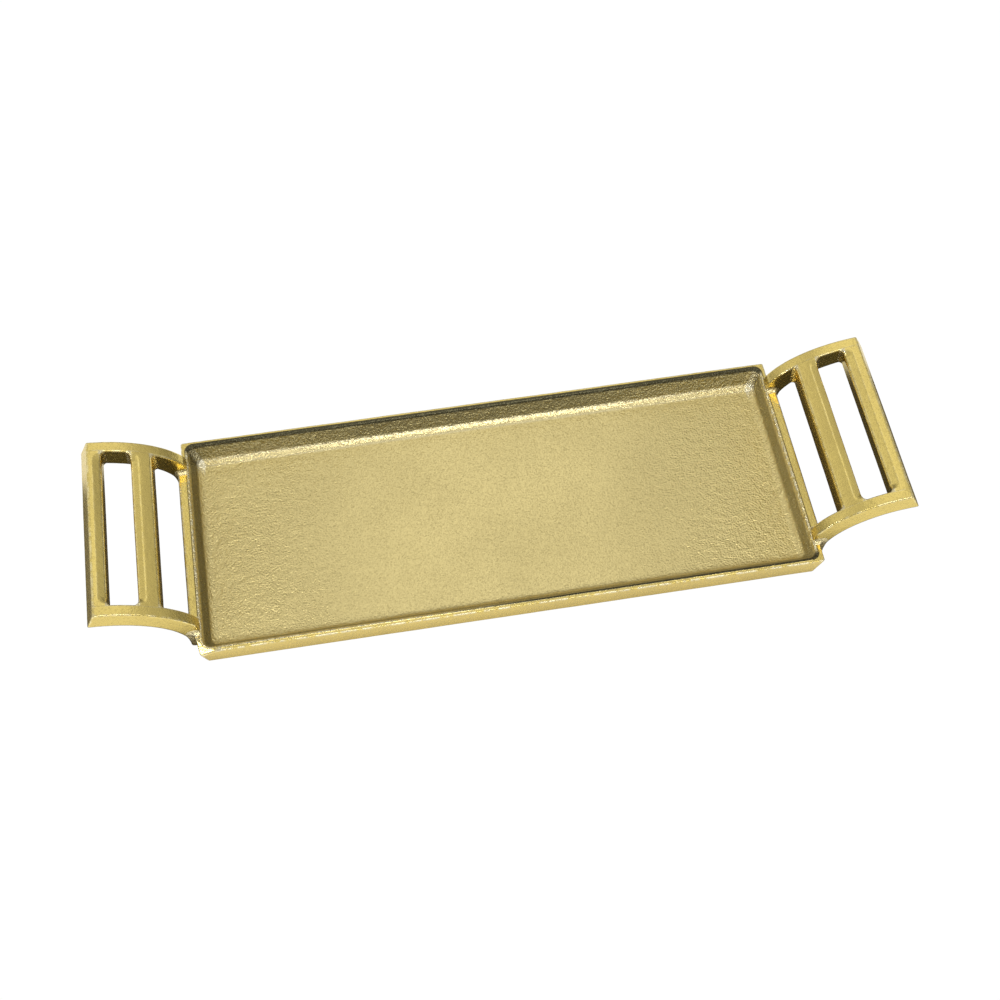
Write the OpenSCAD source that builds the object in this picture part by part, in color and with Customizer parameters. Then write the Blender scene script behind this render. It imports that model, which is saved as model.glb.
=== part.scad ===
// Cast brass serving tray with a ladder handle at each end.
// The origin is at the centre of the base. +X runs along the tray, +Z is up.

/* [Pan] */
// Length of the pan over its rim
pan_length = 344; // [240:1:480]
// Width of the pan over its rim
pan_width = 140; // [125:1:260]
// Height of the rim above the base
pan_height = 13; // [11:0.5:20]
// Thickness of the floor
floor_thickness = 3.5; // [2.5:0.1:4.5]
// Flat width of the rim along the long sides
side_rim = 3; // [2:0.1:5]
// Flat width of the rim across the ends
end_rim = 3.5; // [2.5:0.1:5]
// How far a long wall's inner face runs in from rim to floor
side_slope = 7; // [2:0.1:9]
// How far an end wall's inner face runs in from rim to floor
end_slope = 5.9; // [3:0.1:9]
// How far the base is set in from the rim along the long sides
side_inset = 1.8; // [0:0.1:2.5]
// How far the base is set in from the rim at the ends
end_inset = 4.7; // [0:0.1:6]
// Corner radius of the hollow in plan
hollow_radius = 5; // [4:0.5:16]

/* [Handles] */
// Width of a handle over its two rails
handle_width = 114; // [95:1:120]
// How far a handle reaches past the rim
handle_reach = 53; // [51:1:57]
// How much further the end of a handle reaches at its underside than on top
grip_flare = 5; // [0:0.5:6]
// Height that the arched handle gains from root to crown
arch_rise = 43; // [38:0.5:56]
// Run of the arch from its upright root to its level crown
arch_run = 66; // [66:1:76]
// Thickness of the arched plate
plate_thickness = 10.5; // [8:0.5:12]
// Width of a side rail
rail_width = 7; // [5:0.5:9]
// Corner radius of the brazed joints in the slots
braze_radius = 2.6; // [1.5:0.1:4]

/* [Bars] */
// Slot side of the middle bar, measured out from the rim
middle_start = 12; // [11:0.2:13]
// Width of the middle bar
middle_width = 11.4; // [9:0.2:12]
// Slot side of the grip bar, measured out from the rim
grip_start = 38.4; // [34:0.2:40]
// Height that is dressed off a bar's top on the side of the outer slot
bar_bevel = 4; // [2:0.2:5]

/* [Hidden] */
$fn = 64;
cast_colour = [0.80, 0.70, 0.38];
dressed_colour = [0.86, 0.72, 0.36];
braze_colour = [0.93, 0.84, 0.55];
half_length = pan_length / 2;
half_width = pan_width / 2;
half_handle = handle_width / 2;
half_slot = half_handle - rail_width;
// The arch starts upright this far inside the rim, a little above the base
arch_start = -8;
arch_foot = 1;
// Outer face of the end web that carries the handle between its rails
web_face = 2.6;
arch_steps = 24;
clearance = 1;

// Angle on the arch at a distance out from the rim
function arch_angle(out) = acos(1 - (out - arch_start) / arch_run);
// Top of the arch at an angle, as [out from the rim, up from the base]
function arch_top(a) = [arch_start + arch_run * (1 - cos(a)), arch_foot + arch_rise * sin(a)];
// Unit normal of the arch at an angle, pointing down and out
function arch_normal(a) = [arch_rise * cos(a), -arch_run * sin(a)]
    / norm([arch_rise * cos(a), arch_run * sin(a)]);
// A point at a depth below the top of the arch
function arch_at(a, depth) = arch_top(a) + depth * arch_normal(a);
// Points along the arch between two angles, at one depth
function arch_line(a0, a1, depth) =
    [for (i = [0:arch_steps]) arch_at(a0 + (a1 - a0) * i / arch_steps, depth)];

// Side view of the arched plate, with its top lowered by a drop and its end cut at a slant
module plate_outline(drop = 0) {
    crown = arch_foot + arch_rise;
    flare_rate = grip_flare / plate_thickness;
    intersection() {
        polygon(concat(arch_line(0, 90, drop), arch_line(90, 0, plate_thickness)));
        polygon([
            [arch_start, 0],
            [handle_reach + flare_rate * (crown - plate_thickness), 0],
            [handle_reach - grip_flare - flare_rate * clearance, crown + clearance],
            [arch_start, crown + clearance]
        ]);
    }
}

// Part of the plate between two distances out and two heights, spread over a width in Y
module plate_slice(out_0, out_1, z_0, z_1, y_0, y_1, drop = 0) {
    translate([half_length, y_1, 0]) rotate([90, 0, 0]) linear_extrude(y_1 - y_0)
        intersection() {
            plate_outline(drop);
            translate([out_0, z_0]) square([out_1 - out_0, z_1 - z_0]);
        }
}

// Side view of the pan's outside along one axis
module wall_profile(half_top, inset) {
    polygon([[-half_top + inset, 0], [half_top - inset, 0], [half_top, pan_height], [-half_top, pan_height]]);
}

// Side view of the hollow along one axis, open past the rim
module hollow_profile(half_top, rim, slope) {
    depth = pan_height - floor_thickness;
    inner = half_top - rim;
    flare = clearance * slope / depth;
    polygon([
        [-inner + slope, floor_thickness], [inner - slope, floor_thickness],
        [inner + flare, pan_height + clearance], [-inner - flare, pan_height + clearance]
    ]);
}

// A profile drawn along X, spread across the tray's width
module along_x(width) {
    translate([0, width / 2, 0]) rotate([90, 0, 0]) linear_extrude(width) children();
}

// A profile drawn along Y, spread over the tray's length
module along_y(length) {
    rotate([90, 0, 90]) translate([0, 0, -length / 2]) linear_extrude(length) children();
}

module rounded_plan(length, width, radius) {
    square([length - 2 * radius, width], center = true);
    square([length, width - 2 * radius], center = true);
    for (x = [-1, 1], y = [-1, 1])
        translate([x * (length / 2 - radius), y * (width / 2 - radius)]) circle(radius);
}

module pan_blank() {
    intersection() {
        along_x(pan_width) wall_profile(half_length, end_inset);
        along_y(pan_length) wall_profile(half_width, side_inset);
    }
    for (side = [0, 1]) mirror([side, 0, 0])
        translate([half_length - end_inset - end_slope, -half_handle, 0])
            cube([end_inset + end_slope + web_face, handle_width, pan_height]);
}

module pan_hollow() {
    intersection() {
        along_x(pan_width) hollow_profile(half_length, end_rim, end_slope);
        along_y(pan_length) hollow_profile(half_width, side_rim, side_slope);
        linear_extrude(pan_height + 2 * clearance)
            rounded_plan(pan_length - 2 * end_rim, pan_width - 2 * side_rim, hollow_radius);
    }
}

// One rail, with its root standing on the floor's level inside the end wall
module rail() {
    plate_slice(arch_start - clearance, handle_reach, floor_thickness, arch_foot + arch_rise + clearance,
        half_slot, half_handle);
}

// Side view of a bar: arched top, a bevel towards the outer slot, upright sides
module bar_outline(out_0, out_1, bevel_at, bevel_out) {
    crest = arch_angle(bevel_at);
    difference() {
        intersection() {
            plate_outline();
            translate([out_0, 0]) square([out_1 - out_0, arch_foot + arch_rise + clearance]);
        }
        polygon([
            arch_top(crest),
            [bevel_out, arch_top(arch_angle(bevel_out))[1] - bar_bevel],
            [bevel_out, arch_foot + arch_rise + 2 * clearance],
            [bevel_at, arch_foot + arch_rise + 2 * clearance]
        ]);
    }
}

module bar(out_0, out_1, bevel_at, bevel_out) {
    translate([half_length, half_slot, 0]) rotate([90, 0, 0]) linear_extrude(2 * half_slot)
        bar_outline(out_0, out_1, bevel_at, bevel_out);
}

module middle_bar() {
    bar(middle_start, middle_start + middle_width, middle_start + middle_width / 2,
        middle_start + middle_width);
}

module grip_bar() {
    bar(grip_start, handle_reach, grip_start + bar_bevel, grip_start);
}

// Fillet in a slot's corner, with its arc's centre at [r, -r] from the corner
module corner_fillet(radius) {
    difference() {
        translate([0, -radius]) square(radius);
        translate([radius, -radius]) circle(radius);
    }
}

// Braze in one corner of a slot, at a distance out, turned inwards or outwards
module slot_braze(out, turn, top, drop) {
    intersection() {
        plate_slice(out - braze_radius, out + braze_radius, 0, top,
            half_slot - braze_radius, half_slot, drop);
        translate([half_length + out, half_slot, 0]) mirror([turn < 0 ? 1 : 0, 0, 0])
            linear_extrude(top) corner_fillet(braze_radius);
    }
}

// Beads that hold one rail's root to the end wall: one in the slot, one on the outside
module root_braze() {
    slot_braze(web_face, 1, pan_height + braze_radius, 0);
    bead = 1.5 * braze_radius;
    difference() {
        translate([half_length, half_handle, floor_thickness])
            linear_extrude(pan_height - floor_thickness - clearance) difference() {
                translate([-end_inset, 0]) square([end_inset + bead, bead]);
                translate([bead, bead]) circle(bead);
            }
        pan_blank();
        rail();
    }
}

module middle_braze() {
    for (side = [0, 1]) mirror([0, side, 0]) {
        slot_braze(middle_start, -1, 100, 1);
        slot_braze(middle_start + middle_width, 1, 100, bar_bevel);
    }
}

module grip_braze() {
    for (side = [0, 1]) mirror([0, side, 0]) slot_braze(grip_start, -1, 100, bar_bevel);
}

module at_front() {
    mirror([0, 1, 0]) children();
}

module at_left() {
    mirror([1, 0, 0]) children();
}

module tray_pan() {
    color(cast_colour) difference() {
        pan_blank();
        pan_hollow();
        rail();
        at_front() rail();
        at_left() rail();
        at_left() at_front() rail();
    }
}

module left_back_rail() {
    color(dressed_colour) at_left() rail();
}

module left_front_rail() {
    color(dressed_colour) at_left() at_front() rail();
}

module left_middle_bar() {
    color(dressed_colour) at_left() middle_bar();
}

module left_grip_bar() {
    color(dressed_colour) at_left() grip_bar();
}

module left_back_root_braze() {
    color(braze_colour) at_left() root_braze();
}

module left_front_root_braze() {
    color(braze_colour) at_left() at_front() root_braze();
}

module left_middle_braze() {
    color(braze_colour) at_left() middle_braze();
}

module left_grip_braze() {
    color(braze_colour) at_left() grip_braze();
}

module right_back_rail() {
    color(dressed_colour) rail();
}

module right_front_rail() {
    color(dressed_colour) at_front() rail();
}

module right_middle_bar() {
    color(dressed_colour) middle_bar();
}

module right_grip_bar() {
    color(dressed_colour) grip_bar();
}

module right_back_root_braze() {
    color(braze_colour) root_braze();
}

module right_front_root_braze() {
    color(braze_colour) at_front() root_braze();
}

module right_middle_braze() {
    color(braze_colour) middle_braze();
}

module right_grip_braze() {
    color(braze_colour) grip_braze();
}

tray_pan();
left_back_rail();
left_front_rail();
left_middle_bar();
left_grip_bar();
left_back_root_braze();
left_front_root_braze();
left_middle_braze();
left_grip_braze();
right_back_rail();
right_front_rail();
right_middle_bar();
right_grip_bar();
right_back_root_braze();
right_front_root_braze();
right_middle_braze();
right_grip_braze();
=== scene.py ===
# %% [markdown]
# Cast brass tray with ladder handles
#
# The tray is a shallow pan of sand-cast brass. At each end an arched ladder handle rises from the
# end wall: two side rails, a middle bar and a grip bar, brazed together and dressed by hand.
# Each of those pieces is a mesh of its own here, and each one stands for a solid of the frame.

import math
from functools import partial

import bpy
import numpy as np
from mathutils import Matrix, Vector


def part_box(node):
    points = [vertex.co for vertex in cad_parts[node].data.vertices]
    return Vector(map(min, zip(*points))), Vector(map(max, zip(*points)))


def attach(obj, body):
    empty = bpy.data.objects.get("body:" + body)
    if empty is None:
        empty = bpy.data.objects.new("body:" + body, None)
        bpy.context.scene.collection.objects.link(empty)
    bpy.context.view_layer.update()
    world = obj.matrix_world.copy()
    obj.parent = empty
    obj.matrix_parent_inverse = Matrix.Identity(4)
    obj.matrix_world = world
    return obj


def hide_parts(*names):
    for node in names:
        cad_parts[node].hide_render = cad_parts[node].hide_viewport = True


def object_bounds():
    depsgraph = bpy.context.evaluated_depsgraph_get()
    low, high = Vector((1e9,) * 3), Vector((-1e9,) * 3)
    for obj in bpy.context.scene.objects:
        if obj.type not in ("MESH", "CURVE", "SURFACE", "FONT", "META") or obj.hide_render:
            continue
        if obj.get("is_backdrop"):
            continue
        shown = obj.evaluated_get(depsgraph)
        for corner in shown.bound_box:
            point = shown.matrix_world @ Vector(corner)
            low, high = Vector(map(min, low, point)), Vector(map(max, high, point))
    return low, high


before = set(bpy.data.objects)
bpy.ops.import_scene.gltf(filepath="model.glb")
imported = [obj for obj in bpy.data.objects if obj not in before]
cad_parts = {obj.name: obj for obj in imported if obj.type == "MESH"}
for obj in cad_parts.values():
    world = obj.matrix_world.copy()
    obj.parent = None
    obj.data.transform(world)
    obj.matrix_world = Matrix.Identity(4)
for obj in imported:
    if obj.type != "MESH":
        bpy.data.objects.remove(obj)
cad_low, cad_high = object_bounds()
MM = 1000.0
print("frame box in mm:", [round(v * MM, 1) for v in (*cad_low, *cad_high)])

# %% [markdown]
# Measures
#
# A foundry works from a drawing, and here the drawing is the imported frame. Its boxes give the rim,
# the rails and the bars, so a change of size there carries over. Only what no box can tell, such as
# the arch and the slopes of the walls, is repeated as a named value. All of these are in millimetres,
# and "out" is the distance past the rim at either end.

# %% Measures from the frame, in millimetres
pan_box = [Vector(c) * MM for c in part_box("tray_pan")]
rail_box = [Vector(c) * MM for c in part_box("right_back_rail")]
middle_box = [Vector(c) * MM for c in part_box("right_middle_bar")]
grip_box = [Vector(c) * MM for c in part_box("right_grip_bar")]

WEB_OUT = 2.6
RIM_OUT = pan_box[1].x - WEB_OUT
HALF_WIDTH = pan_box[1].y
RIM_TOP = pan_box[1].z
FLOOR_TOP = rail_box[0].z
SLOT_HALF = rail_box[0].y
HANDLE_HALF = rail_box[1].y
REACH = rail_box[1].x - RIM_OUT
MIDDLE = (middle_box[0].x - RIM_OUT, middle_box[1].x - RIM_OUT)
GRIP_START = grip_box[0].x - RIM_OUT
print(f"rim {RIM_OUT:.1f} x {HALF_WIDTH:.1f}, handle reaches {REACH:.1f}, middle bar {MIDDLE}")

SIDE_RIM, END_RIM = 3.0, 3.5
SIDE_SLOPE, END_SLOPE = 7.0, 5.9
SIDE_INSET, END_INSET = 1.8, 4.7
ARCH_START, ARCH_FOOT, ARCH_RISE, ARCH_RUN = -8.0, 1.0, 43.0, 66.0
PLATE = 10.5
OUTER_DRAFT, SLOT_DRAFT = 0.03, 0.11
FLARE = 5.0
BLOCK_CORNER, WEB_CORNER, WEB_FILLET = 1.4, 1.5, 3.0
RIM_EDGE, WEB_EDGE, HOLLOW_EDGE, BASE_EDGE = 0.8, 0.9, 0.6, 0.8
BASE_GAP = 0.2
HOLLOW_CORNER, HOLLOW_FOOT = 3.0, 2.6
BEVEL, BEVEL_WIDTH, BEVEL_SOFTNESS = 2.2, 4.6, 0.01
WORN_CORNER = 5.5
EDGE, BAR_EDGE = 0.8, 1.3
BAR_BEAD, ROOT_BEAD = 2.6, 3.0

# %% [markdown]
# Rounded joins
#
# A casting has no sharp inside corner, and a dressed edge is never quite sharp either. So each piece is
# written as a distance: negative inside the metal, positive outside. Where two distances meet, a
# small arc can be put between them, which gives a filed edge (round_in) or a fillet (round_join)
# of a known radius. Modelling each fillet by hand, or bevelling after a boolean, would be more work
# and would break where three of them meet.

# %% Round edges and round fillets
def round_in(a, b, radius):
    """Keep what is inside both, and round the edge between them."""
    past_a, past_b = np.maximum(radius + a, 0), np.maximum(radius + b, 0)
    return np.minimum(-radius, np.maximum(a, b)) + np.hypot(past_a, past_b)


def round_join(a, b, radius):
    """Keep what is inside either, and fill the corner between them with a fillet."""
    short_a, short_b = np.maximum(radius - a, 0), np.maximum(radius - b, 0)
    return np.maximum(radius, np.minimum(a, b)) - np.hypot(short_a, short_b)


def smooth(t):
    """Ease from 0 to 1, level at both ends."""
    t = np.clip(t, 0, 1)
    return t * t * (3 - 2 * t)


def slope(across, up, run, rise):
    """Distance to a wall that leans by run over its rise, and passes through across = up = 0."""
    return (across * rise - up * run) / math.hypot(run, rise)


print("edge of two faces 1 mm inside each:", round(float(round_in(np.float64(-1), np.float64(-1), 1)), 2))

# %% [markdown]
# The arch
#
# Seen from the side, each handle is one thick plate that leaves the end wall upright and curves over
# until it is level at the grip. A quarter of an ellipse has that shape. The plate's top follows it,
# and every point of the metal is found by its depth below that line.

# %% Height above the arch
arch_turn = np.radians(np.linspace(0, 90, 46))
arch_line = np.stack([
    ARCH_START + ARCH_RUN * (1 - np.cos(arch_turn)),
    ARCH_FOOT + ARCH_RISE * np.sin(arch_turn),
], axis=1)
straight_on = ARCH_START + ARCH_RUN + 20.0
arch_line = np.vstack([[ARCH_START, -20.0], arch_line, [straight_on, ARCH_FOOT + ARCH_RISE]])


def arch_distance(out, z):
    """Distance above the plate's top line, negative below it."""
    out, z = np.broadcast_arrays(out, z)
    p = np.stack([out.ravel(), z.ravel()], axis=1)
    a, b = arch_line[:-1], arch_line[1:]
    along = b - a
    best = np.full(len(p), 1e9)
    side = np.zeros(len(p))
    for start, run in zip(a, along):
        v = p - start
        t = np.clip(v @ run / (run @ run), 0, 1)
        gap = v - t[:, None] * run
        far = np.hypot(gap[:, 0], gap[:, 1])
        near = far < best
        best = np.where(near, far, best)
        side = np.where(near, run[0] * v[:, 1] - run[1] * v[:, 0], side)
    return (best * np.where(side >= 0, 1, -1)).reshape(out.shape)


TABLE_STEP = 0.25
table_out, table_z = np.arange(-24, 84, TABLE_STEP), np.arange(-8, 54, TABLE_STEP)
arch_table = arch_distance(table_out[:, None], table_z[None, :])


def above_arch(out, z):
    """The same distance, read between the points of a table, which is much quicker."""
    u = np.clip((out - table_out[0]) / TABLE_STEP, 0, len(table_out) - 1.001)
    v = np.clip((z - table_z[0]) / TABLE_STEP, 0, len(table_z) - 1.001)
    i, j = u.astype(int), v.astype(int)
    u, v = u - i, v - j
    near = arch_table[i, j] * (1 - v) + arch_table[i, j + 1] * v
    far = arch_table[i + 1, j] * (1 - v) + arch_table[i + 1, j + 1] * v
    return near * (1 - u) + far * u


turn_at_end = math.acos(1 - (REACH - FLARE - ARCH_START) / ARCH_RUN)
CROWN_AT_END = ARCH_FOOT + ARCH_RISE * math.sin(turn_at_end)
print(f"top of the grip's end: {CROWN_AT_END:.1f} mm above the table")

# %% [markdown]
# The pan
#
# Floor, four leaning walls and rim are one casting. The outside is a block with drafted faces, so that
# the pattern could be drawn from the sand, and a web at each end that carries the handle. The hollow
# has small round corners and a fillet all round its foot. Both are made of leaning planes and
# rounded joins. One corner of the rim is worn down to a slant, which a single plane cuts away.

# %% Shape of the pan
def hollow_shape(x, y, z):
    out, side = np.abs(x) - RIM_OUT, np.abs(y)
    drop, depth = RIM_TOP - z, RIM_TOP - FLOOR_TOP
    walls = round_in(
        slope(side - HALF_WIDTH + SIDE_RIM, -drop, SIDE_SLOPE, depth),
        slope(out + END_RIM, -drop, END_SLOPE, depth), HOLLOW_CORNER)
    return round_in(walls, FLOOR_TOP - z, HOLLOW_FOOT)


def pan_shape(x, y, z):
    out, side = np.abs(x) - RIM_OUT, np.abs(y)
    drop = RIM_TOP - z
    block = round_in(
        slope(side - HALF_WIDTH, -drop, SIDE_INSET, RIM_TOP),
        slope(out, -drop, END_INSET, RIM_TOP), BLOCK_CORNER)
    web = round_in(out - WEB_OUT, side - HANDLE_HALF, WEB_CORNER)
    plan = round_join(block, web, WEB_FILLET)
    by_web = smooth((HANDLE_HALF + 2 - side) / 4) * smooth((out + 6) / 6)
    solid = round_in(plan, z - RIM_TOP, RIM_EDGE + WEB_EDGE * by_web)
    solid = round_in(solid, BASE_GAP - z, BASE_EDGE)
    inset_x, inset_y = WORN_CORNER - RIM_OUT - x, WORN_CORNER - HALF_WIDTH - y
    worn = 0.35 * inset_x + 0.45 * inset_y + 0.82 * (z - RIM_TOP)
    solid = round_in(solid, worn, RIM_EDGE)
    return round_in(solid, -hollow_shape(x, y, z), HOLLOW_EDGE)


print("metal at the rim's middle:", bool(pan_shape(0.0, HALF_WIDTH - 1.5, RIM_TOP - 1) < 0))

# %% [markdown]
# The handle's rails and bars
#
# A rail is a slice of the arched plate. Its slot side leans a little, again for draft. A bar is a
# slice across it, with a bevel filed along the side of the outer slot, which fades out just before
# the rails. The end of the grip bar is cut on a slant, so that its underside reaches further.

# %% Shape of a rail and of a bar
def plate_band(height):
    return np.abs(height + PLATE / 2) - PLATE / 2


def slant_end(out, z):
    turn = math.atan2(FLARE, PLATE)
    return (out - REACH + FLARE) * math.cos(turn) + (z - CROWN_AT_END) * math.sin(turn)


def into_hollow(out, z):
    """How far a point has passed the end wall's face, which no rail or bead may do."""
    drop = np.maximum(RIM_TOP - z, 0)
    return 0.3 - (out + END_RIM + END_SLOPE * drop / (RIM_TOP - FLOOR_TOP))


def rail_shape(x, y, z):
    out, side = np.abs(x) - RIM_OUT, np.abs(y)
    height = above_arch(out, z)
    outer = side - HANDLE_HALF + 0.3 + OUTER_DRAFT * height
    inner = SLOT_HALF + SLOT_DRAFT * height - side
    sides = round_in(outer, inner, 1.0)
    rail = round_in(plate_band(height), sides, EDGE)
    rail = round_in(rail, slant_end(out, z), EDGE)
    rail = round_in(rail, into_hollow(out, z), 1.5)
    return np.maximum(rail, 2.2 - z)


def bar_band(out, side, height, bar):
    """Depth inside the plate, less the bevel that is filed along the outer slot."""
    fade = smooth((SLOT_HALF - 0.6 - side) / 5.0)
    across = (out - bar["bevel_from"]) / (bar["bevel_to"] - bar["bevel_from"])
    across = np.clip(across, -1, 1.2)
    cut = BEVEL * 0.5 * (across + np.sqrt(across ** 2 + BEVEL_SOFTNESS)) * fade
    return np.abs(height + (PLATE + cut) / 2) - (PLATE - cut) / 2


def bar_shape(x, y, z, bar):
    out, side = np.abs(x) - RIM_OUT, np.abs(y)
    band = bar_band(out, side, above_arch(out, z), bar)
    body = round_in(band, np.maximum(bar["start"] - out, out - bar["stop"]), BAR_EDGE)
    body = round_in(body, slant_end(out, z), EDGE)
    sink = 0.16 * np.clip((side - SLOT_HALF - 0.5) / 0.6, 0, 1)
    return np.maximum(body + sink, side - SLOT_HALF - 2.0)


print("slot for four fingers:", round(GRIP_START - MIDDLE[1], 1), "by", round(2 * SLOT_HALF, 1), "mm")

# %% [markdown]
# The braze
#
# Brass is joined to brass with a bead of brazing metal that wets both sides and leaves a hollow fillet.
# A bead is what a fillet adds between two shapes, kept a hair under both of them where it ends.

# %% Shape of a bead of braze
def between(filled, a, b, radius):
    """Only the part of a filled corner that lies by both of the shapes it joins."""
    return np.maximum(np.maximum(filled + 0.04, np.maximum(a, b) - radius), -np.minimum(a, b) - 1.0)


def root_bead(x, y, z):
    side = np.abs(y)
    rail, pan = rail_shape(x, y, z), pan_shape(x, y, z)
    beside = np.maximum(SLOT_HALF - side, side - HANDLE_HALF)
    radius = 0.05 + ROOT_BEAD * smooth((beside + 2.0) / 2.0)
    bead = between(round_join(rail, pan, radius), rail, pan, radius)
    return np.maximum(bead, into_hollow(np.abs(x) - RIM_OUT, z) + 0.2)


def bar_bead(x, y, z, bar):
    out, side = np.abs(x) - RIM_OUT, np.abs(y)
    height = above_arch(out, z)
    beside, past = SLOT_HALF + SLOT_DRAFT * height - side, np.maximum(bar["start"] - out, out - bar["stop"])
    corner = round_join(beside, past, BAR_BEAD)
    corner = round_in(bar_band(out, side, height, bar), corner, BAR_EDGE)
    corner = round_in(corner, slant_end(out, z), EDGE)
    return between(corner, rail_shape(x, y, z), bar_shape(x, y, z, bar), BAR_BEAD)


print("bead radius at a bar:", BAR_BEAD, "mm, at a root:", ROOT_BEAD, "mm")

# %% [markdown]
# From a shape to a mesh
#
# The shape is read on a grid of points. Each cell that the surface passes through gets one vertex, at
# the mean of the places where the surface crosses its edges, and each grid edge that it crosses
# gets one face between the four cells around it. That is a surface net. Two steps along the
# slope of the distance then put every vertex on the true surface, so flat faces come out flat.

# %% The surface net
def grid_lines(*stretches):
    """Grid positions from stretches of (start, stop, step)."""
    lines = [np.linspace(a, b, max(2, int(round((b - a) / step)) + 1)) for a, b, step in stretches]
    return np.unique(np.round(np.concatenate(lines), 4))


def cell_slices(axis, shape):
    """The four cells around each edge that runs along an axis, in turning order."""
    u, v = [k for k in range(3) if k != axis]
    for du, dv in ((0, 0), (1, 0), (1, 1), (0, 1)):
        cut = [slice(None)] * 3
        cut[u] = slice(du, du + shape[u] - 2)
        cut[v] = slice(dv, dv + shape[v] - 2)
        yield tuple(cut)


def surface_net(shape, xs, ys, zs):
    lines = (xs, ys, zs)
    value = shape(xs[:, None, None], ys[None, :, None], zs[None, None, :])
    value = np.broadcast_to(value, tuple(len(k) for k in lines))
    cells = tuple(n - 1 for n in value.shape)
    total, count = np.zeros(cells + (3,)), np.zeros(cells)
    quads = []
    number = np.arange(np.prod(cells)).reshape(cells)
    for axis in range(3):
        head = [slice(None)] * 3
        tail = [slice(None)] * 3
        head[axis], tail[axis] = slice(1, None), slice(None, -1)
        a, b = value[tuple(tail)], value[tuple(head)]
        crossed = (a < 0) != (b < 0)
        part = np.where(crossed, a / np.where(crossed, a - b, 1), 0)
        start = lines[axis][:-1]
        step = np.diff(lines[axis])
        turn = [1, 1, 1]
        turn[axis] = -1
        place = []
        for k in range(3):
            reach = [1, 1, 1]
            reach[k] = -1
            if k == axis:
                place.append(start.reshape(turn) + part * step.reshape(turn))
            else:
                place.append(np.broadcast_to(lines[k].reshape(reach), crossed.shape))
        place = np.stack(place, axis=-1)
        u, v = [k for k in range(3) if k != axis]
        inner = [slice(None)] * 3
        inner[u], inner[v] = slice(1, -1), slice(1, -1)
        inner = tuple(inner)
        hit = crossed[inner]
        corners = []
        for cut in cell_slices(axis, value.shape):
            total[cut] += place[inner] * hit[..., None]
            count[cut] += hit
            corners.append(number[cut][hit])
        quad = np.stack(corners, axis=1)
        outward = (a[inner][hit] < 0) != (axis == 1)
        quads.append(np.where(outward[:, None], quad, quad[:, ::-1]))
    quads = np.concatenate(quads)
    used, index = np.unique(quads, return_inverse=True)
    points = total.reshape(-1, 3)[used] / count.reshape(-1)[used, None]
    return points, index.reshape(-1, 4)


def shape_slope(shape, points, reach):
    """Slope of the distance at each point, and its bend: above zero on an edge, below in a fillet."""
    middle = shape(*points.T)
    slopes, bend = [], -6 * middle
    for axis in range(3):
        offset = np.zeros(3)
        offset[axis] = reach
        ahead, behind = shape(*(points + offset).T), shape(*(points - offset).T)
        slopes.append((ahead - behind) / (2 * reach))
        bend = bend + ahead + behind
    return middle, np.stack(slopes, axis=1), bend / reach ** 2


def settle(shape, points, steps=2):
    for _ in range(steps):
        middle, slopes, _ = shape_slope(shape, points, 0.05)
        size = np.maximum((slopes ** 2).sum(axis=1), 0.25)
        move = np.clip(middle / size, -0.4, 0.4)
        points = points - move[:, None] * slopes
    return points


def wall_skin_and_shade_share(x, y, z):
    """How dark the hollow's walls are painted: partly the cast skin, left where neither file nor belt could
    reach, and partly painted shade for the walls' dark reflections.
    """
    wall = smooth((z - FLOOR_TOP - 1.4) / 1.6)
    top, lip = smooth((z - RIM_TOP + 2.6) / 1.4), smooth((z - RIM_TOP + 1.7) / 0.8)
    # Painted shade: a dark line just under the rim, along the back wall and the right part of the front
    # wall.
    painted_dark_lip = smooth((np.abs(y) - HALF_WIDTH + 9) / 4) * np.where(y > 0, 1.0, smooth((x + 60) / 80))
    # Painted shade as well: the left end wall is painted darker and the right end wall lighter.
    left_end, right_end = [smooth((sign * x - RIM_OUT + 14) / 4) for sign in (-1, 1)]
    share = 0.64 + 0.06 * left_end - 0.12 * right_end
    return share * wall * (1 - top * (1 - painted_dark_lip)) + (1.0 - share) * lip * painted_dark_lip


def mark(mesh, name, values):
    """Store one number for each point, for the finish to read."""
    attribute = mesh.attributes.new(name, "FLOAT", "POINT")
    attribute.data.foreach_set("value", values.astype(np.float32))


SPARE = 0.15
BEND_REACH = 0.8


def piece_mesh(name, form, boxes, skin=None):
    """One mesh from a shape, read over one or more boxes of grid lines, with some metal to spare."""
    def shape(x, y, z):
        return form(x, y, z) - SPARE

    points, quads, first = [], [], 0
    for xs, ys, zs in boxes:
        p, q = surface_net(shape, xs, ys, zs)
        points.append(settle(shape, p))
        quads.append(q + first)
        first += len(p)
    points, quads = np.concatenate(points), np.concatenate(quads)
    bend = shape_slope(shape, points, BEND_REACH)[2]
    mesh = bpy.data.meshes.new(name)
    mesh.from_pydata((points / MM).tolist(), [], quads.tolist())
    dressed = np.ones(len(points)) if skin is None else smooth((skin(*points.T) - 0.5) / 0.7)
    mark(mesh, "edge", np.clip(bend * 0.6, -1, 1))
    mark(mesh, "dressed", dressed)
    # The third mark paints the walls dark: partly the unworked cast skin, partly painted shade.
    mark(mesh, "skin_and_painted_shade", (1 - dressed) * wall_skin_and_shade_share(*points.T))
    mesh.shade_smooth()
    piece = bpy.data.objects.new(name, mesh)
    bpy.context.scene.collection.objects.link(piece)
    print(f"{name}: {len(points)} vertices, {2 * len(quads)} triangles")
    return piece


# %% [markdown]
# Dressing by hand
#
# The founder's sand leaves a skin that is never flat, and the file and the belt that take it off leave
# soft waves of their own. Geometry Nodes add both, because the rule is the same on every piece: each
# point moves inwards along its normal by two noises of its place. Neighbours share the noise, so
# their joints still meet, and nothing grows past the size of the frame.

# %% Geometry Nodes: waves and sand skin
def tree_input(tree, name, kind, value=None):
    item = tree.interface.new_socket(name, in_out="INPUT", socket_type=kind)
    if value is not None:
        item.default_value = value
    return item


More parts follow.
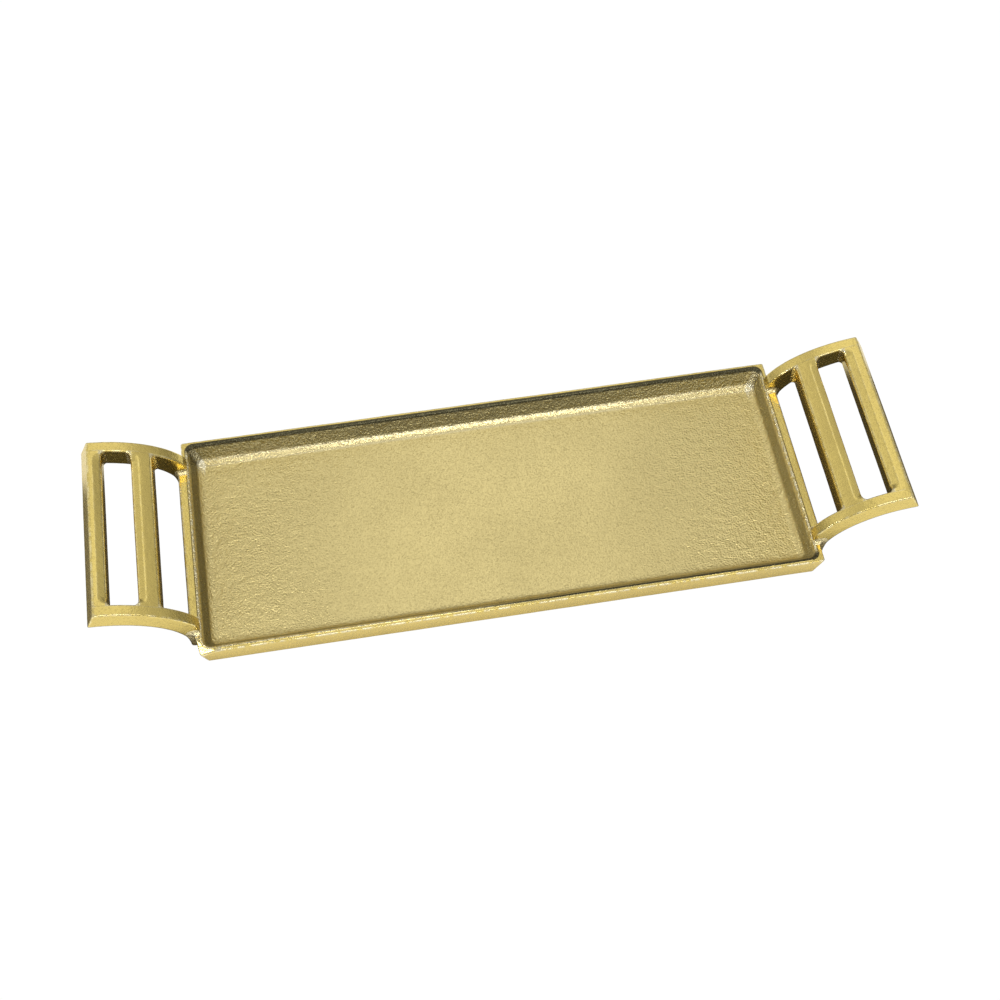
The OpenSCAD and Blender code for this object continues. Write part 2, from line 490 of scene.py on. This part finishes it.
def build_dressing():
    tree = bpy.data.node_groups.new("Hand dressing", "GeometryNodeTree")
    tree.interface.new_socket("Geometry", in_out="OUTPUT", socket_type="NodeSocketGeometry")
    tree_input(tree, "Geometry", "NodeSocketGeometry")
    tree_input(tree, "Wave length", "NodeSocketFloat", 0.035)
    tree_input(tree, "Wave depth", "NodeSocketFloat", 0.0003)
    tree_input(tree, "Skin size", "NodeSocketFloat", 0.0025)
    tree_input(tree, "Skin depth", "NodeSocketFloat", 0.0001)
    tree_input(tree, "Seed", "NodeSocketFloat", 4.0)
    tree_input(tree, "Finish", "NodeSocketMaterial")
    nodes, links = tree.nodes, tree.links
    given = nodes.new("NodeGroupInput")
    place = nodes.new("GeometryNodeInputPosition")
    normal = nodes.new("GeometryNodeInputNormal")
    depth = []
    layers = (("Wave length", "Wave depth", 1.0), ("Skin size", "Skin depth", 2.0))
    for size_name, depth_name, detail in layers:
        per_metre = nodes.new("ShaderNodeMath")
        per_metre.operation = "DIVIDE"
        per_metre.inputs[0].default_value = 1.0
        links.new(given.outputs[size_name], per_metre.inputs[1])
        noise = nodes.new("ShaderNodeTexNoise")
        noise.noise_dimensions = "4D"
        noise.inputs["Detail"].default_value = detail
        links.new(place.outputs[0], noise.inputs["Vector"])
        links.new(given.outputs["Seed"], noise.inputs["W"])
        links.new(per_metre.outputs[0], noise.inputs["Scale"])
        inward = nodes.new("ShaderNodeMath")
        inward.operation = "MULTIPLY"
        links.new(noise.outputs[0], inward.inputs[0])
        links.new(given.outputs[depth_name], inward.inputs[1])
        depth.append(inward)
    both = nodes.new("ShaderNodeMath")
    links.new(depth[0].outputs[0], both.inputs[0])
    links.new(depth[1].outputs[0], both.inputs[1])
    back = nodes.new("ShaderNodeMath")
    back.operation = "MULTIPLY"
    back.inputs[1].default_value = -1.0
    links.new(both.outputs[0], back.inputs[0])
    offset = nodes.new("ShaderNodeVectorMath")
    offset.operation = "SCALE"
    links.new(normal.outputs[0], offset.inputs[0])
    links.new(back.outputs[0], offset.inputs["Scale"])
    move = nodes.new("GeometryNodeSetPosition")
    links.new(given.outputs["Geometry"], move.inputs["Geometry"])
    links.new(offset.outputs[0], move.inputs["Offset"])
    real = nodes.new("GeometryNodeRealizeInstances")
    links.new(move.outputs[0], real.inputs[0])
    finish = nodes.new("GeometryNodeSetMaterial")
    links.new(real.outputs[0], finish.inputs["Geometry"])
    links.new(given.outputs["Finish"], finish.inputs["Material"])
    result = nodes.new("NodeGroupOutput")
    links.new(finish.outputs[0], result.inputs[0])
    return tree


dressing = build_dressing()
items = dressing.interface.items_tree
sockets = {item.name: item.identifier for item in items if item.in_out == "INPUT"}


def dress(piece, finish, skin_size=0.0025):
    """Run the dressing tree on a piece and keep the result as its plain mesh."""
    modifier = piece.modifiers.new("Hand dressing", "NODES")
    modifier.node_group = dressing
    modifier[sockets["Skin size"]] = skin_size
    modifier[sockets["Finish"]] = finish
    bpy.context.view_layer.update()
    ready = piece.evaluated_get(bpy.context.evaluated_depsgraph_get())
    mesh = bpy.data.meshes.new_from_object(ready)
    piece.modifiers.clear()
    raw, piece.data = piece.data, mesh
    bpy.data.meshes.remove(raw)
    return piece


print("dressing inputs:", list(sockets))

# %% [markdown]
# Shader groups
#
# Sand-cast brass is not one colour. It has a grain from the sand, dark clouds of tarnish, pits, fine
# lines from the belt, and bright metal wherever an edge gets rubbed. More than one finish needs each of
# these, so they are node groups with sizes in metres. They only give heights and masks. The
# shader itself, the metal, stays in each material.

# %% Helpers for shader groups
def new_group(name, inputs, outputs):
    group = bpy.data.node_groups.new(name, "ShaderNodeTree")
    for label, value in inputs:
        kind = "NodeSocketVector" if value is None else "NodeSocketFloat"
        item = group.interface.new_socket(label, in_out="INPUT", socket_type=kind)
        if value is not None:
            item.default_value = value
    for label in outputs:
        group.interface.new_socket(label, in_out="OUTPUT", socket_type="NodeSocketFloat")
    return group, group.nodes.new("NodeGroupInput"), group.nodes.new("NodeGroupOutput")


def plug(tree, socket, value):
    """Put a number on a socket, or link another socket into it."""
    if isinstance(value, bpy.types.NodeSocket):
        tree.links.new(value, socket)
    else:
        socket.default_value = value


def math_node(tree, operation, a, b=None, clamp=False):
    node = tree.nodes.new("ShaderNodeMath")
    node.operation = operation
    node.use_clamp = clamp
    plug(tree, node.inputs[0], a)
    if b is not None:
        plug(tree, node.inputs[1], b)
    return node.outputs[0]


def noise_node(tree, place, size, detail=2.0, roughness=0.5, stretch=None):
    """A noise whose lumps are about the given size in metres."""
    if stretch is not None:
        turn = tree.nodes.new("ShaderNodeMapping")
        turn.inputs["Scale"].default_value = stretch
        tree.links.new(place, turn.inputs["Vector"])
        place = turn.outputs[0]
    node = tree.nodes.new("ShaderNodeTexNoise")
    tree.links.new(place, node.inputs["Vector"])
    plug(tree, node.inputs["Scale"], math_node(tree, "DIVIDE", 1.0, size))
    node.inputs["Detail"].default_value = detail
    node.inputs["Roughness"].default_value = roughness
    return node.outputs[0]


def range_node(tree, value, low, high, to_low=0.0, to_high=1.0):
    node = tree.nodes.new("ShaderNodeMapRange")
    node.interpolation_type = "SMOOTHSTEP"
    plug(tree, node.inputs["Value"], value)
    node.inputs["From Min"].default_value = low
    node.inputs["From Max"].default_value = high
    node.inputs["To Min"].default_value = to_low
    node.inputs["To Max"].default_value = to_high
    return node.outputs[0]


print("shader helpers ready")

# %% Group: sand grain
def build_sand_grain():
    group, given, result = new_group(
        "Sand grain",
        [("Place", None), ("Grain size", 0.0014), ("Coarse size", 0.004), ("Coarse share", 0.4)],
        ["Height", "Valley"])
    fine = noise_node(group, given.outputs["Place"], given.outputs["Grain size"], 2.0, 0.55)
    coarse = noise_node(group, given.outputs["Place"], given.outputs["Coarse size"], 1.0, 0.5)
    coarse = math_node(group, "MULTIPLY", coarse, given.outputs["Coarse share"])
    height = math_node(group, "ADD", fine, coarse)
    plug(group, result.inputs["Height"], height)
    plug(group, result.inputs["Valley"], range_node(group, fine, 0.55, 0.25))
    return group


# %% Group: pits
def build_pits():
    group, given, result = new_group(
        "Pits", [("Place", None), ("Spacing", 0.024), ("Radius", 0.03)], ["Pit"])
    cells = group.nodes.new("ShaderNodeTexVoronoi")
    group.links.new(given.outputs["Place"], cells.inputs["Vector"])
    plug(group, cells.inputs["Scale"], math_node(group, "DIVIDE", 1.0, given.outputs["Spacing"]))
    cells.inputs["Randomness"].default_value = 1.0
    near = math_node(group, "DIVIDE", cells.outputs["Distance"], given.outputs["Radius"])
    plug(group, result.inputs["Pit"], range_node(group, near, 0.4, 1.0, 1.0, 0.0))
    return group


# %% Group: tarnish clouds
def build_tarnish():
    """Clouds of tarnish, and how much coarser the skin is there and towards the two ends."""
    group, given, result = new_group(
        "Tarnish clouds", [("Place", None), ("Cloud size", 0.055)], ["Cloud", "Coarse"])
    cloud = noise_node(group, given.outputs["Place"], given.outputs["Cloud size"], 4.0, 0.55)
    cloud = range_node(group, cloud, 0.40, 0.66)
    split = group.nodes.new("ShaderNodeSeparateXYZ")
    group.links.new(given.outputs["Place"], split.inputs[0])
    ends = range_node(group, math_node(group, "ABSOLUTE", split.outputs["X"]), 0.05, 0.15, 0.72, 1.7)
    plug(group, result.inputs["Cloud"], cloud)
    in_clouds = math_node(group, "MULTIPLY", cloud, 0.1)
    plug(group, result.inputs["Coarse"], math_node(group, "ADD", ends, in_clouds))
    return group


# %% Group: edge wear
def build_edge_wear():
    group, given, result = new_group(
        "Edge wear", [("Place", None), ("Break size", 0.004)], ["Rubbed", "Sheltered"])
    bend = group.nodes.new("ShaderNodeAttribute")
    bend.attribute_name = "edge"
    broken = noise_node(group, given.outputs["Place"], given.outputs["Break size"], 3.0, 0.6)
    rubbed = range_node(group, bend.outputs["Fac"], 0.05, 0.45)
    rubbed = math_node(group, "MULTIPLY", rubbed, range_node(group, broken, 0.38, 0.58))
    sheltered = range_node(group, math_node(group, "MULTIPLY", bend.outputs["Fac"], -1.0), 0.03, 0.35)
    plug(group, result.inputs["Rubbed"], rubbed)
    plug(group, result.inputs["Sheltered"], sheltered)
    return group


# %% Group: belt lines
def build_belt_lines():
    group, given, result = new_group("Belt lines", [("Place", None), ("Line size", 0.0007)], ["Line"])
    place, size = given.outputs["Place"], given.outputs["Line size"]
    along = noise_node(group, place, size, 3.0, 0.7, (0.06, 1.0, 1.0))
    across = noise_node(group, place, size, 3.0, 0.7, (1.0, 0.06, 1.0))
    plug(group, result.inputs["Line"], math_node(group, "MAXIMUM", along, across))
    return group


groups = {
    "grain": build_sand_grain(),
    "pits": build_pits(),
    "tarnish": build_tarnish(),
    "wear": build_edge_wear(),
    "belt": build_belt_lines(),
}
print("shader groups:", [group.name for group in groups.values()])

# %% [markdown]
# The three finishes
#
# The hollow of the pan keeps its cast skin: pale, grainy and soft in gloss. Rim, rails and bars were
# filed and buffed, so they are warmer and shinier. The braze flowed last and is the brightest. All
# three are bare metal, which in the Principled shader means Metallic 1: the colour is then the
# colour of the reflection, and everything else is a matter of roughness and of the normal. A painted
# highlight lies on the long fillet at the foot of the back wall. The walls of the hollow get a darker
# colour that is partly the unworked cast skin, which no file or belt could reach, and partly painted
# shade standing in for their dark reflections.

# %% One brass finish
def mix_colour(tree, share, a, b):
    node = tree.nodes.new("ShaderNodeMix")
    node.data_type = "RGBA"
    plug(tree, node.inputs[0], share)
    for socket, value in ((node.inputs[6], a), (node.inputs[7], b)):
        plug(tree, socket, value if isinstance(value, bpy.types.NodeSocket) else (*value, 1.0))
    return node.outputs[2]


def use_group(tree, key, place, **values):
    node = tree.nodes.new("ShaderNodeGroup")
    node.node_tree = groups[key]
    tree.links.new(place, node.inputs["Place"])
    for label, value in values.items():
        node.inputs[label.replace("_", " ")].default_value = value
    return node.outputs


# Dark colour of the hollow's walls: partly the unworked cast skin, partly painted shade for their dark
# reflections.
DARK_SKIN_AND_SHADE = (0.10, 0.09, 0.05)
PIT_DEPTH = 0.00006
# In Y, where the painted highlight on the back wall's foot fillet starts and where it is full.
FOOT_HIGHLIGHT_FROM, FOOT_HIGHLIGHT_FULL = 0.050, 0.056


def brass_finish(name, look, rim_look=None):
    """A brass material from a look. Where a piece is marked as dressed, the rim's look takes over."""
    rim_look = rim_look or look
    material = bpy.data.materials.new(name)
    material.use_nodes = True
    tree = material.node_tree
    shader = tree.nodes["Principled BSDF"]
    shader.inputs["Metallic"].default_value = 1.0
    place = tree.nodes.new("ShaderNodeTexCoord").outputs["Object"]
    masks = []
    for attribute in ("dressed", "skin_and_painted_shade"):
        node = tree.nodes.new("ShaderNodeAttribute")
        node.attribute_name = attribute
        masks.append(node.outputs["Fac"])
    dressed, skin_and_painted_shade = masks

    def part(key):
        a, b = look[key], rim_look[key]
        if a == b:
            return a
        if isinstance(a, tuple):
            return mix_colour(tree, dressed, a, b)
        return range_node(tree, dressed, 0.0, 1.0, a, b)

    def times(a, b):
        return math_node(tree, "MULTIPLY", a, b)

    tarnish = use_group(tree, "tarnish", place)
    wear = use_group(tree, "wear", place)
    grain = use_group(
        tree, "grain", place, Grain_size=look["grain_size"], Coarse_share=look["coarse_share"])
    pits = use_group(tree, "pits", place)
    belt = use_group(tree, "belt", place)
    dull = part("dull")
    colour = mix_colour(tree, times(tarnish["Cloud"], part("clouds")), part("clean"), dull)
    colour = mix_colour(tree, times(grain["Valley"], part("valleys")), colour, dull)
    colour = mix_colour(tree, times(wear["Sheltered"], part("shelter")), colour, dull)
    across = tree.nodes.new("ShaderNodeSeparateXYZ")
    tree.links.new(place, across.inputs[0])
    # Painted highlight: the concave fillet at the foot of the back wall is painted near white.
    back_foot_highlight = range_node(tree, across.outputs["Y"], FOOT_HIGHLIGHT_FROM, FOOT_HIGHLIGHT_FULL)
    foot_highlight = times(times(wear["Sheltered"], back_foot_highlight), part("foot_highlight"))
    colour = mix_colour(tree, foot_highlight, colour, look["bright"])
    colour = mix_colour(tree, times(wear["Rubbed"], 0.6), colour, look["bright"])
    colour = mix_colour(tree, times(pits["Pit"], 0.6), colour, dull)
    # Painted shade on the walls of the hollow, mixed with the dark unworked cast skin.
    colour = mix_colour(tree, skin_and_painted_shade, colour, DARK_SKIN_AND_SHADE)
    tree.links.new(colour, shader.inputs["Base Color"])
    rough = math_node(tree, "ADD", part("gloss"), times(grain["Valley"], 0.16))
    rough = math_node(tree, "ADD", rough, times(tarnish["Cloud"], 0.02))
    rough = math_node(tree, "SUBTRACT", rough, times(foot_highlight, 0.12))
    rough = math_node(tree, "SUBTRACT", rough, times(wear["Rubbed"], 0.10), clamp=True)
    tree.links.new(rough, shader.inputs["Roughness"])
    height = times(times(grain["Height"], part("grain_depth")), tarnish["Coarse"])
    height = math_node(tree, "SUBTRACT", height, times(pits["Pit"], PIT_DEPTH))
    height = math_node(tree, "ADD", height, times(belt["Line"], part("belt_depth")))
    bump = tree.nodes.new("ShaderNodeBump")
    bump.inputs["Distance"].default_value = 1.0
    tree.links.new(height, bump.inputs["Height"])
    tree.links.new(bump.outputs[0], shader.inputs["Normal"])
    return material


cast_look = {
    "clean": (0.90, 0.745, 0.33), "dull": (0.46, 0.36, 0.14), "bright": (1.0, 0.94, 0.72), "gloss": 0.28,
    "grain_size": 0.0011, "grain_depth": 0.00052, "coarse_share": 0.7, "clouds": 0.06, "valleys": 0.36,
    "shelter": 0.0, "foot_highlight": 0.9, "belt_depth": 0.00001}
dressed_look = {
    "clean": (0.83, 0.65, 0.195), "dull": (0.42, 0.31, 0.11), "bright": (1.0, 0.88, 0.50), "gloss": 0.22,
    "grain_size": 0.0010, "grain_depth": 0.00007, "coarse_share": 0.9, "clouds": 0.14, "valleys": 0.20,
    "shelter": 0.4, "foot_highlight": 0.0, "belt_depth": 0.00001}
braze_look = {
    "clean": (0.90, 0.77, 0.42), "dull": (0.42, 0.31, 0.10), "bright": (1.0, 0.92, 0.62), "gloss": 0.16,
    "grain_size": 0.0009, "grain_depth": 0.00024, "coarse_share": 1.0, "clouds": 0.2, "valleys": 0.35,
    "shelter": 0.0, "foot_highlight": 0.0, "belt_depth": 0.0}
cast_brass = brass_finish("cast_brass", cast_look, dressed_look)
dressed_brass = brass_finish("dressed_brass", dressed_look)
braze_brass = brass_finish("braze_brass", braze_look)
print("finishes:", [m.name for m in bpy.data.materials if m.name.endswith("_brass")])

# %% [markdown]
# The pan, cast in one
#
# The grid is fine where the pan has edges and fillets and coarse across the flat floor, because a
# flat face needs few points. That keeps the piece under the limit and its edges crisp.

# %% The pan
def both_ways(lines):
    """Grid lines for one side, mirrored to the other."""
    return np.unique(np.concatenate([-lines, lines]))


def finished(piece, nodes):
    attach(piece, "root")
    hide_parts(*nodes)
    return piece


pan_xs = both_ways(grid_lines((0, 156, 2.2), (156, RIM_OUT + 4.4, 0.45)))
pan_ys = both_ways(grid_lines((0, 59, 1.8), (59, HALF_WIDTH + 1.2, 0.4)))
pan_zs = grid_lines((-0.9, 1.5, 0.4), (1.5, 3.1, 0.4), (3.1, 8, 0.5), (8, 11.6, 0.6), (11.6, 14, 0.35))
pan = piece_mesh("pan_casting", pan_shape, [(pan_xs, pan_ys, pan_zs)], skin=hollow_shape)
pan = dress(pan, cast_brass, skin_size=0.004)
finished(pan, ["tray_pan"])

# %% [markdown]
# Rails, bars and braze, once for each end
#
# Both handles come from the same shapes. The distances use how far out a point is and how far aside, so
# the same function gives all four corners and only the grid moves.

# %% The two handles
def turned(lines, sign):
    return np.sort(lines * sign)


def handle_lines(start, stop, step):
    return grid_lines((RIM_OUT + start, RIM_OUT + stop, step))


FINE, MEDIUM = 0.32, 0.45
rail_xs = handle_lines(-9.5, REACH + 1.5, 0.5)
rail_ys = grid_lines((SLOT_HALF - 2.6, HANDLE_HALF + 1.2, MEDIUM))
rail_zs = grid_lines((1.2, cad_high[2] * MM + 1.2, 0.5))
bar_ys = both_ways(grid_lines((0, 42, 0.9), (42, SLOT_HALF + 3.0, MEDIUM)))
root_xs = handle_lines(-9.0, 5.5, FINE)
root_ys = grid_lines((45.5, 63, FINE))
root_zs = grid_lines((-1, 15.5, FINE))
bead_ys = grid_lines((45.5, 53, FINE))
HAND_SHIFT = {"left": 1.9, "right": 0.2}


def bars(end):
    """Where the two bars of a handle lie. The left one was brazed a little further out."""
    start, stop = [edge + HAND_SHIFT[end] for edge in MIDDLE]
    grip = GRIP_START + HAND_SHIFT[end]
    return {
        "middle": {"start": start, "stop": stop, "bevel_from": stop - BEVEL_WIDTH, "bevel_to": stop},
        "grip": {"start": grip, "stop": REACH + PLATE, "bevel_from": grip + BEVEL_WIDTH, "bevel_to": grip},
    }


for end, sign in (("left", -1), ("right", 1)):
    for where, aside in (("back", 1), ("front", -1)):
        grid = (turned(rail_xs, sign), turned(rail_ys, aside), rail_zs)
        rail = dress(piece_mesh(f"{end}_{where}_rail_dressed", rail_shape, [grid]), dressed_brass)
        finished(rail, [f"{end}_{where}_rail"])
        grid = (turned(root_xs, sign), turned(root_ys, aside), root_zs)
        root = dress(piece_mesh(f"{end}_{where}_root_bead", root_bead, [grid]), braze_brass)
        finished(root, [f"{end}_{where}_root_braze"])
    for name, bar in bars(end).items():
        low, high = [c.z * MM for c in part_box(f"{end}_{name}_bar")]
        tall = grid_lines((low - 1.5, high + 6, MEDIUM))
        last = min(bar["stop"], REACH)
        grid = (turned(handle_lines(bar["start"] - 1.5, last + 1.5, MEDIUM), sign), bar_ys, tall)
        piece = piece_mesh(f"{end}_{name}_bar_dressed", partial(bar_shape, bar=bar), [grid])
        piece = dress(piece, dressed_brass)
        finished(piece, [f"{end}_{name}_bar"])
        tall = grid_lines((low - 3, high + 6, FINE))
        around = turned(handle_lines(bar["start"] - 4, min(last + 4, REACH + 1), FINE), sign)
        corners = [(around, turned(bead_ys, aside), tall) for aside in (1, -1)]
        piece = piece_mesh(f"{end}_{name}_beads", partial(bar_bead, bar=bar), corners)
        piece = dress(piece, braze_brass)
        finished(piece, [f"{end}_{name}_braze"])

# %% [markdown]
# The studio
#
# A tray like this is shown on white. The table is a plain pale sheet. A soft box behind and above the
# tray fills the floor of the pan with light, a narrow one over the camera picks out the fillets, and
# one at the left lights the bevels that face it. A small lamp low at the left gives the worn corner
# its glint. The room stays dim near the horizon, so that the walls of the hollow go dark. Under the
# tray a dark patch is painted on the table: a painted shadow that shows only in the metal's
# reflections, where it keeps the sides of the slots dark.

# %% Table and room
def pale_table():
    mesh = bpy.data.meshes.new("table")
    half = 6.0
    corners = [(-half, -half, 0), (half, -half, 0), (half, half, 0), (-half, half, 0)]
    mesh.from_pydata(corners, [], [(0, 1, 2, 3)])
    table = bpy.data.objects.new("table", mesh)
    bpy.context.scene.collection.objects.link(table)
    material = bpy.data.materials.new("table")
    material.use_nodes = True
    tree = material.node_tree
    tree.nodes.clear()
    result = tree.nodes.new("ShaderNodeOutputMaterial")
    matt = tree.nodes.new("ShaderNodeBsdfDiffuse")
    place = tree.nodes.new("ShaderNodeTexCoord")
    split = tree.nodes.new("ShaderNodeSeparateXYZ")
    tree.links.new(place.outputs["Object"], split.inputs[0])
    # Painted shadow: for all but camera rays the table is dark under the tray, so the metal reflects a
    # shadow there.
    beyond = []
    for axis, edge, rise in (("X", cad_high[0] + 0.02, 0.2), ("Y", HANDLE_HALF / MM, 1.0)):
        past = math_node(tree, "SUBTRACT", math_node(tree, "ABSOLUTE", split.outputs[axis]), edge)
        beyond.append(math_node(tree, "MULTIPLY", past, rise))
    clear_of_painted_shadow = range_node(tree, math_node(tree, "MAXIMUM", *beyond), 0.0, 0.02)
    shade = mix_colour(tree, clear_of_painted_shadow, (0.12, 0.11, 0.09), (0.85, 0.85, 0.85))
    tree.links.new(shade, matt.inputs["Color"])
    lit = tree.nodes.new("ShaderNodeEmission")
    tree.links.new(math_node(tree, "MULTIPLY", clear_of_painted_shadow, 0.28), lit.inputs["Strength"])
    both = tree.nodes.new("ShaderNodeAddShader")
    tree.links.new(matt.outputs[0], both.inputs[0])
    tree.links.new(lit.outputs[0], both.inputs[1])
    white = tree.nodes.new("ShaderNodeEmission")
    white.inputs["Strength"].default_value = 1.02
    who = tree.nodes.new("ShaderNodeLightPath")
    mix = tree.nodes.new("ShaderNodeMixShader")
    tree.links.new(who.outputs["Is Camera Ray"], mix.inputs[0])
    tree.links.new(both.outputs[0], mix.inputs[1])
    tree.links.new(white.outputs[0], mix.inputs[2])
    tree.links.new(mix.outputs[0], result.inputs[0])
    mesh.materials.append(material)
    table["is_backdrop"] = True
    return table


def dim_room(horizon, overhead, backdrop):
    world = bpy.data.worlds.new("room")
    bpy.context.scene.world = world
    world.use_nodes = True
    tree = world.node_tree
    tree.nodes.clear()
    result = tree.nodes.new("ShaderNodeOutputWorld")
    place = tree.nodes.new("ShaderNodeTexCoord")
    split = tree.nodes.new("ShaderNodeSeparateXYZ")
    tree.links.new(place.outputs["Generated"], split.inputs[0])
    glow = range_node(tree, split.outputs["Z"], 0.05, 0.55, horizon, overhead)
    behind = range_node(tree, split.outputs["Y"], -0.1, 0.6, 0.0, backdrop)
    glow = math_node(tree, "MAXIMUM", glow, behind)
    who = tree.nodes.new("ShaderNodeLightPath")
    seen = math_node(tree, "MAXIMUM", glow, who.outputs["Is Camera Ray"])
    light = tree.nodes.new("ShaderNodeBackground")
    tree.links.new(seen, light.inputs["Strength"])
    tree.links.new(light.outputs[0], result.inputs[0])


def soft_box(name, place, size, glow):
    """A soft box that faces the tray. Glow is how bright it looks in a mirror."""
    lamp = bpy.data.lights.new(name, "AREA")
    lamp.shape = "RECTANGLE"
    lamp.size, lamp.size_y = size
    lamp.energy = 4.0 * glow * size[0] * size[1]
    box = bpy.data.objects.new(name, lamp)
    box.location = place
    box.rotation_euler = Vector(place).to_track_quat("Z", "Y").to_euler()
    box.visible_camera = False
    bpy.context.scene.collection.objects.link(box)
    return box


pale_table()
dim_room(0.08, 0.72, 0.30)
soft_box("back box", (0.10, 0.95, 1.45), (0.9, 1.0), 0.36)
soft_box("front box", (0.12, -0.80, 1.25), (1.2, 0.28), 4.2)
soft_box("left box", (-0.85, 0.85, 0.62), (0.8, 0.9), 0.28)
soft_box("corner lamp", (-1.04, -0.44, 0.73), (0.2, 0.2), 14.0)

# %% [markdown]
# The camera
#
# It stands in front of the tray, a little to the left, and looks down at 56 degrees. Turning it by less
# than two degrees about its own axis gives the slight tilt of a camera held by hand.

# %% Camera
camera_data = bpy.data.cameras.new("camera")
camera_data.sensor_width = 36.0
camera_data.lens = 62.95
camera = bpy.data.objects.new("camera", camera_data)
bpy.context.scene.collection.objects.link(camera)
stand = Vector((-0.0772, -0.5441, 0.8248))
aim = Vector((0.0043, 0.0086, 0.0))
roll = math.radians(-1.17)
look = (aim - stand).to_track_quat("-Z", "Y").to_matrix()
camera.matrix_world = Matrix.Translation(stand) @ (look @ Matrix.Rotation(roll, 3, "Z")).to_4x4()
bpy.context.scene.camera = camera
bpy.context.scene.view_settings.view_transform = "Standard"

# %% Sizes, and the end
low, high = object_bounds()
{"cad": [list(cad_low), list(cad_high)], "visual": [list(low), list(high)]}
print("visual box in mm:", [round(v * MM, 2) for v in (*low, *high)])
